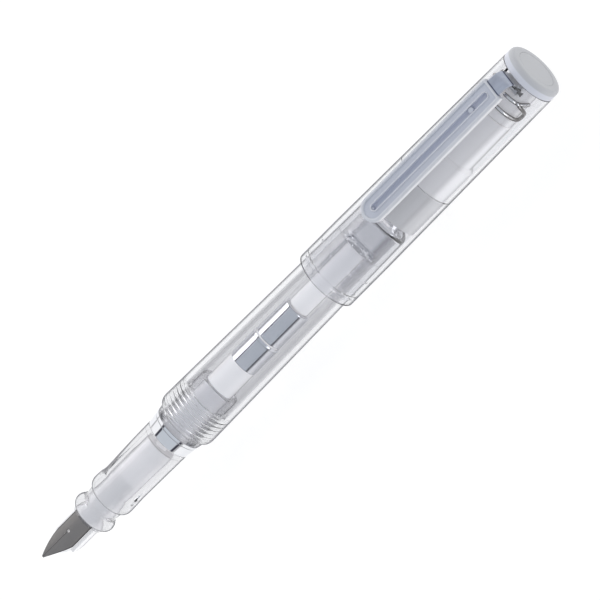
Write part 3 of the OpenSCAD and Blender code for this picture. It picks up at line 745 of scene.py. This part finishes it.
def converter(frosted, plating):
    """The ink tube and its two chrome tubes."""
    front, rear, radius = span("ink_tube")
    step = span("converter_sleeve")[0]
    outline = rounded([
        (front, 1.58, 0.1), (front, radius, 0.3), (step, radius, 0.05), (step, radius - 0.28, 0.04),
        (rear, radius - 0.28, 0.05), (rear, 2.7, 0.05), (front + 2, 2.7, 0.3), (front + 2, 1.58, 0.1),
    ])
    revolve("reservoir_tube", outline, frosted, "section", "frosted_plastic", ("ink_tube",), 128)
    front, rear, _ = span("converter_sleeve")
    radius = 3.48
    inner, bead = radius - 0.28, radius + 0.06
    outline = rounded([
        (front, inner, 0.03), (front, radius, 0.08), (rear - 0.75, radius), (rear - 0.6, bead, 0.06),
        (rear - 0.35, bead, 0.06), (rear - 0.2, radius), (rear, radius - 0.04, 0.06), (rear, inner, 0.03),
    ])
    revolve("front_sleeve", outline, plating, "section", "chrome_trim", ("converter_sleeve",), 128)
    front, rear, radius = span("converter_collar")
    outline = rounded([
        (front, 2.75, 0.03), (front, radius, 0.12), (rear, radius, 0.3), (rear, 2.3, 0.05),
        (rear - 0.4, 2.3, 0.05), (rear - 0.4, 2.75, 0.05),
    ])
    revolve("rear_sleeve", outline, plating, "section", "chrome_trim", ("converter_collar",), 128)


def knob(material):
    """The turning knob: a smooth hollow bar with a rounded end."""
    front, rear, radius = span("converter_knob")
    spindle_r, bore_r, bore_step, end_wall = 1.76, 1.5, 84.0, 0.9
    outline = rounded([
        (front, spindle_r, 0.05), (front, radius, 0.2), (rear, radius, 0.4), (rear, 0),
        (rear - end_wall, 0), (rear - end_wall, bore_r, 0.3), (bore_step, bore_r, 0.05),
        (bore_step, spindle_r, 0.05),
    ])
    revolve("turning_knob", outline, material, "knob", "frosted_plastic", ("converter_knob",), 128)


# ---------------------------------------------------------------- cap and clip

def cap_shell(material):
    """Cap: a parallel band at the mouth, a straight taper behind it, and steps inside. The notch for the clip
    plate draws the rear edge forward over a short range of turn."""
    front, rear, radius = span("cap_tube")
    band_end, top_r = front + 11.2, 6.95
    notch_x, notch_width, notch_r, drawn_from = 152.3, 4.6, 6.6, 150.5
    notch_half = (notch_width / 2) / notch_r
    corners = [(front + 0.25, 6.62, 0.1), (front, 6.85, 0.2), (front, radius, 1.2), (band_end, radius, 2.0)]
    corners += [(rear, top_r, 0.1), (rear, 6.2, 0.05), (121.5, 6.2, 0.1), (121.5, 6.5, 0.15)]
    corners += [(96.4, 6.5, 0.1), (96.1, 6.62, 0.1), (91.95, 6.62, 0.1), (91.6, 6.5, 0.12), (91.2, 6.5, 0.12)]
    corners += [(90.85, 6.62, 0.1)]
    outline = rounded(corners)
    columns = 200
    turn = np.linspace(0, 2 * np.pi, columns, endpoint=False)
    edge = np.array([-1.001, -0.999, 0.999, 1.001]) * notch_half
    turn = np.sort(np.concatenate([turn, edge % (2 * np.pi)]))
    wrapped = np.minimum(turn, 2 * np.pi - turn)
    x = np.repeat(outline[:, :1], len(turn), 1)
    limit = np.where(wrapped < notch_half, notch_x, rear)[None, :]
    near_end = smooth(x, drawn_from, rear)
    x = np.where(x > drawn_from, x - near_end * (rear - limit), x)
    r = np.repeat(outline[:, 1:], len(turn), 1)
    points = in_frame(x, r * np.sin(turn), r * np.cos(turn)).reshape(-1, 3)
    faces = quads(len(outline), len(turn), True, True)
    faces = faces if signed_area(outline) > 0 else faces[:, ::-1]
    add_piece("cap_shell", points.tolist(), faces.tolist(), material, "cap", "clear_plastic", "cap_tube")


SKIRT_END = 121.4       # station where the liner's thin skirt meets its thicker body
SCREW_HOLE_R = 1.53     # the finial's screw passes through the liner, the hub and into the finial


def liner(material):
    """The stepped inner cap with its thin skirt."""
    front, rear, radius = span("inner_cap")
    liner_r, skirt_bore_r, seal_bore_r = radius - 0.23, radius - 0.4, 5.35
    seat, step, step_end = 120.8, 130.0, 130.6
    outline = rounded([
        (front, skirt_bore_r, 0.1), (front, radius, 0.15), (SKIRT_END, radius, 0.05),
        (SKIRT_END, liner_r, 0.05), (step, liner_r, 0.15), (step_end, 5.3, 0.15), (rear, 5.1, 0.4),
        (rear, SCREW_HOLE_R, 0.05), (rear - 1, SCREW_HOLE_R, 0.05), (rear - 1, 4.2, 0.4),
        (step_end, 4.35, 0.1), (step, seal_bore_r, 0.1), (seat, seal_bore_r, 0.1),
        (seat, skirt_bore_r, 0.05),
    ])
    revolve("cap_liner", outline, material, "cap", "frosted_plastic", ("inner_cap",), 160)


def carrier(material):
    """The hub behind the liner. Where the strap comes down, the radius is cut to height / cos(turn)."""
    front, rear, _ = span("clip_carrier")
    hub_r, slot_x, slot_z, slot_turn = 4.4, 150.2, 1.75, math.radians(31)
    outline = rounded([
        (front, SCREW_HOLE_R, 0.05), (front, 5.05, 0.1), (front + 1.9, 5.0, 0.15),
        (front + 2.0, hub_r, 0.1), (rear, hub_r, 0.1), (rear, SCREW_HOLE_R, 0.05),
    ], 0.5)

    def shape(x, r, turn):
        off = np.minimum(turn, 2 * np.pi - turn)
        cut = slot_z / np.cos(np.minimum(off, slot_turn))
        inside = smooth(x, slot_x - 0.1, slot_x + 0.1) * (1 - smooth(off, slot_turn, slot_turn + 0.1))
        return np.where(r > 4.0, r + (cut - r) * inside, r)

    revolve("clip_hub", outline, material, "cap", "frosted_plastic", ("clip_carrier",), 160, shape)


def finial(material):
    """The end piece, with a rounded rear edge and a shallow seat, and the disc in it."""
    front, rear, radius = span("finial")
    seat = span("finial_inlay")[2] + 0.03
    outline = rounded([
        (front, SCREW_HOLE_R, 0.05), (front, radius, 0.15), (rear, radius, 0.95), (rear, seat, 0.06),
        (rear - 0.4, seat, 0.03), (rear - 0.4, 0), (front + 1.7, 0), (front + 1.7, SCREW_HOLE_R, 0.1),
    ], 1.0)
    revolve("finial_body", outline, material, "cap", "finial_plastic", ("finial",), 160)
    front, rear, radius = span("finial_inlay")
    outline = rounded([(front, 0), (front, radius, 0.03), (rear - 0.02, radius, 0.1), (rear - 0.02, 0)], 1.0)
    revolve("finial_disc", outline, material, "cap", "finial_plastic", ("finial_inlay",), 128)


def plan_ring(x0, x1, half, front_r, rear_r, height):
    """One closed ring of the clip arm in plan: straight sides joined by an arc at each corner."""
    q = np.linspace(0, 1, 13)
    along = np.concatenate([[0.001], np.linspace(0.01, 0.99, 40), [0.999]])
    corner = []
    for centre_x, centre_y, radius, start in (
        (x0 + front_r, half - front_r, front_r, 90), (x0 + front_r, front_r - half, front_r, 180),
        (x1 - rear_r, rear_r - half, rear_r, 270), (x1 - rear_r, half - rear_r, rear_r, 0),
    ):
        a = np.radians(start + 90 * q)
        corner.append(np.stack([centre_x + radius * np.cos(a), centre_y + radius * np.sin(a)], -1))
    side = x0 + front_r + (x1 - rear_r - x0 - front_r) * along
    low = np.stack([side, np.full(side.size, -half)], -1)
    high = np.stack([side[::-1], np.full(side.size, half)], -1)
    ring = np.concatenate([corner[0], corner[1], low, corner[2], corner[3], high])
    return in_frame(ring[:, 0], ring[:, 1], np.full(len(ring), height))


def clip_arm(material):
    """Clip arm: rings in plan run from the middle of the underside, up the side, over the rim, along the sunk
    band, over the lip and down the groove to its floor. Each ring is set in by the same share at either end.
    A pad under the front end, a bridge across the groove and a dot at its front finish the arm."""
    front, rear, half_w = span("clip_arm")
    top = (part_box("clip_arm")[1].z - AXIS_Z) / MM
    base = top - 1.75
    slot_half = 0.675
    front_in, rear_in = 2.8 / (half_w - slot_half), 1.7 / (half_w - slot_half)
    section = [      # half width, height
        (0.0, base), (1.2, base), (half_w - 0.3, base), (half_w - 0.18, base + 0.02),
        (half_w - 0.06, base + 0.1),
        (half_w, base + 0.28), (half_w, base + 0.32), (half_w, top - 0.5), (half_w, top - 0.46),
        (half_w - 0.05, top - 0.24), (half_w - 0.16, top - 0.09), (half_w - 0.3, top - 0.015),
        (half_w - 0.42, top), (half_w - 0.6, top), (half_w - 0.66, top - 0.02), (half_w - 0.72, top - 0.08),
        (half_w - 0.78, top - 0.3), (half_w - 0.82, top - 0.345), (half_w - 0.9, top - 0.35),
        (1.10, top - 0.35), (1.03, top - 0.34), (0.98, top - 0.28), (0.95, top - 0.16), (0.90, top - 0.11),
        (0.82, top - 0.10), (0.76, top - 0.11), (0.70, top - 0.16), (slot_half, top - 0.26),
        (slot_half, top - 0.3), (slot_half, top - 0.85), (slot_half - 0.02, top - 0.9),
        (slot_half - 0.1, top - 0.95), (slot_half - 0.14, top - 0.95), (0.0, top - 0.95),
    ]
    rings = []
    for half, height in section:
        inset = min(half_w - half, half_w - 0.3)
        rear_r = 0.35 if half > 1.2 else half
        x0, x1 = front + inset * front_in, rear - inset * rear_in
        rings.append(plan_ring(x0, x1, half, half, rear_r, height))
    points = np.stack(rings)
    faces = quads(points.shape[0], points.shape[1], False, True)
    piece = add_piece("clip_blade", points.reshape(-1, 3).tolist(), faces.tolist(), material, "clip",
                      "clip_plastic", "clip_arm")
    weld(piece, 0.002 * MM)
    recalc(piece)
    stud("clip_pad", front + 3, 7.3, base + 0.1, 1.1, 1.7, material, "clip", "clip_plastic")
    stud("groove_bridge", 142.9, top - 1.0, top - 0.33, 0.68, 0.66, material, "clip", "clip_plastic")
    stud("groove_gate", front + 2.9, top - 1.0, top - 0.45, 0.42, 0.34, material, "clip", "clip_plastic")


def recalc(piece):
    """Turns every face of a closed piece outwards."""
    mesh = bmesh.new()
    mesh.from_mesh(piece.data)
    bmesh.ops.recalc_face_normals(mesh, faces=mesh.faces)
    mesh.to_mesh(piece.data)
    mesh.free()


def stud(name, x, low, high, low_r, high_r, material, body, slot):
    """A small round stud on the pen's centre plane: rings of radius over height, closed by flat ends."""
    around = 40
    profile = rounded([(low, 0), (low, low_r, 0.08), (high, high_r, 0.08), (high, 0)], 1.0)
    profile = profile[profile[:, 1] > 1e-9]
    turn = np.linspace(0, 2 * np.pi, around, endpoint=False)
    r = np.repeat(profile[:, 1:], around, 1)
    z = np.repeat(profile[:, :1], around, 1)
    points = in_frame(x + r * np.cos(turn), r * np.sin(turn), z).reshape(-1, 3)
    faces = quads(len(profile), around, False, True).tolist()
    last = (len(profile) - 1) * around
    faces += [list(range(around))[::-1], list(range(last, last + around))]
    recalc(add_piece(name, points.tolist(), faces, material, body, slot))


def sweep_strip(name, path, width, thick, material, body, slot, *nodes):
    """A flat strap: a rounded rectangle carried along a path in the XZ plane, square to it."""
    path = np.array(path, float)
    along = np.gradient(path, axis=0)
    along /= np.linalg.norm(along, axis=1)[:, None]
    normal = np.stack([-along[:, 1], along[:, 0]], -1)
    r, w, t = 0.12, width / 2, thick / 2
    a = np.radians(np.linspace(0, 90, 4))
    section = []
    for sy, sz, start in ((1, 1, 0), (-1, 1, 90), (-1, -1, 180), (1, -1, 270)):
        b = a + math.radians(start)
        section += list(zip(sy * (w - r) + r * np.cos(b), sz * (t - r) + r * np.sin(b)))
    section = np.array(section)
    x = path[:, :1] + normal[:, :1] * section[None, :, 1]
    z = path[:, 1:] + normal[:, 1:] * section[None, :, 1]
    y = np.repeat(section[None, :, 0], len(path), 0)
    points = in_frame(x, y, z)
    rows, columns = points.shape[:2]
    faces = quads(rows, columns, False, True).tolist()
    faces += [list(range(columns)), list(range((rows - 1) * columns, rows * columns))[::-1]]
    piece = add_piece(name, points.reshape(-1, 3).tolist(), faces, material, body, slot, *nodes)
    recalc(piece)


def clip_plate(material):
    """The strap: flat out of the arm, a quarter turn down through the cap's notch and an eye rolled round the
    pivot pin."""
    rear = span("clip_arm")[1]
    height, bend_x, bend_z, bend_r, eye = 9.75, 151.25, 7.85, 1.85, 0.92
    pin_front, pin_rear, _ = span("clip_pin")
    pin_x = (pin_front + pin_rear) / 2
    pin_z = ((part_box("clip_pin")[0].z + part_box("clip_pin")[1].z) / 2 - AXIS_Z) / MM
    path = [(rear - 1.0 + 0.25 * i, height) for i in range(9)]
    path += arc(bend_x, bend_z, bend_r, 82, 0, 13)
    path += [(153.08, 7.0), (153.02, 6.4), (152.88, 5.6), (152.72, 4.8)]
    path += arc(pin_x, pin_z, eye, 12, -270, 25)
    sweep_strip("clip_strap", path, 4.1, 0.46, material, "clip", "chrome_trim", "clip_plate")


def smooth_path(points, steps):
    """A Catmull-Rom curve through points, as many steps to each stretch."""
    p = np.array(points, float)
    p = np.concatenate([2 * p[:1] - p[1:2], p, 2 * p[-1:] - p[-2:-1]])
    t = np.linspace(0, 1, steps, endpoint=False)[:, None, None]
    a, b, c, d = p[:-3], p[1:-2], p[2:-1], p[3:]
    bend, twist = 2 * a - 5 * b + 4 * c - d, 3 * b - a - 3 * c + d
    curve = 0.5 * (2 * b + (c - a) * t + bend * t ** 2 + twist * t ** 3)
    return np.concatenate([curve.transpose(1, 0, 2).reshape(-1, p.shape[1]), p[-2:-1]])


def wires(name, routes, radius, material, body, slot, *nodes):
    """Round wires with rounded ends. Each route lists (station, turn in degrees, distance from the axis), and
    the wire's ring is square to the smoothed route. A rounded end is three steps of distance and size."""
    around = 16
    end_steps = radius * np.array([[0.12], [0.35], [0.7]])
    end_sizes = radius * np.array([0.05, 0.5, 0.8, 0.95])
    points, faces, count = [], [], 0
    angle = np.linspace(0, 2 * np.pi, around, endpoint=False)
    for route in routes:
        q = smooth_path(route, 8)
        turn = np.radians(q[:, 1])
        line = np.stack([q[:, 0], q[:, 2] * np.sin(turn), q[:, 2] * np.cos(turn)], -1)
        along = np.gradient(line, axis=0)
        along /= np.linalg.norm(along, axis=1)[:, None]
        out = line * (0, 1, 1)
        side = np.cross(along, out)
        side /= np.linalg.norm(side, axis=1)[:, None]
        up = np.cross(side, along)
        size = np.full(len(line), radius)
        size[:4], size[-4:] = end_sizes, end_sizes[::-1]
        line[1:4] = line[0] + along[:1] * end_steps
        line[-4:-1] = line[-1] - along[-1:] * end_steps[::-1]
        ring = line[:, None] + size[:, None, None] * (
            np.cos(angle)[None, :, None] * side[:, None] + np.sin(angle)[None, :, None] * up[:, None])
        rows = len(line)
        last = count + (rows - 1) * around
        points.append(in_frame(ring[..., 0], ring[..., 1], ring[..., 2]).reshape(-1, 3))
        faces += (count + quads(rows, around, False, True)).tolist()
        faces += [list(range(count, count + around)), list(range(last, last + around))]
        count = last + around
    piece = add_piece(name, np.concatenate(points).tolist(), faces, material, body, slot, *nodes)
    recalc(piece)


def clip_spring(material):
    """The wire form: one wire wraps over the carrier and hooks up on each side, and a leg comes down to cross
    it and ends in a short tail."""
    hook = [(146.2, 0, 5.0), (146.2, 30, 5.0), (146.2, 60, 5.0), (146.25, 88, 5.0), (146.9, 105, 5.0),
            (148.2, 94, 5.05), (149.1, 72, 5.25), (149.6, 55, 5.5), (150.1, 44, 5.5)]
    leg = [(149.4, 6, 4.95), (149.5, 28, 4.9), (149.65, 50, 4.82), (150.1, 66, 4.85), (150.9, 82, 4.9)]
    left = [(x, -turn, r) for x, turn, r in hook[:0:-1]]
    routes = [left + hook, leg, [(x, -turn, r) for x, turn, r in leg]]
    wires("spring_wire_form", routes, 0.42, material, "cap", "spring_wire", "clip_spring")


# ---------------------------------------------------------------- the whole pen

def paint(material, *names):
    """Gives CAD nodes that stay as they are their finish."""
    for name in names:
        slots = NODES[name].data.materials
        slots.clear()
        slots.append(material)


make_camera()
make_floor()
make_light()
render_look()

CLEAR = clear_plastic(
    "clear_acrylic", (0.84, 0.843, 0.862, 1), (0.885, 0.888, 0.902, 1), (6.95, 0, 0), 0.0)
BARREL_CLEAR = clear_plastic(
    "barrel_clear_acrylic", (0.83, 0.832, 0.85, 1), (0.88, 0.882, 0.895, 1), (5.6, 0.9, 0.0181), 1.0)
GRIP_CLEAR = clear_plastic(
    "grip_clear_acrylic", (0.74, 0.74, 0.76, 1), (0.80, 0.80, 0.815, 1), (4.3, 0, 0), 0.0)
FROSTED = frosted_plastic("frosted_plastic")
LINER = frosted_plastic("frosted_liner_plastic", SKIRT_END)
PLATING = chrome()
STEEL = nib_steel()

grip(GRIP_CLEAR)
trim(PLATING)
nib(STEEL)
barrel(BARREL_CLEAR)
barrel_plug(CLEAR)
converter(FROSTED, PLATING)
knob(FROSTED)
cap_shell(CLEAR)
liner(LINER)
carrier(FROSTED)
finial(finial_plastic())
clip_arm(clip_plastic())
clip_plate(strap_steel())
clip_spring(wire_steel())
paint(FROSTED, "feed", "feed_housing", "converter_bearing", "knob_spindle", "piston_rod")
paint(seal_rubber(), "piston_seal")
paint(PLATING, "finial_screw")
paint(STEEL, "clip_pin")
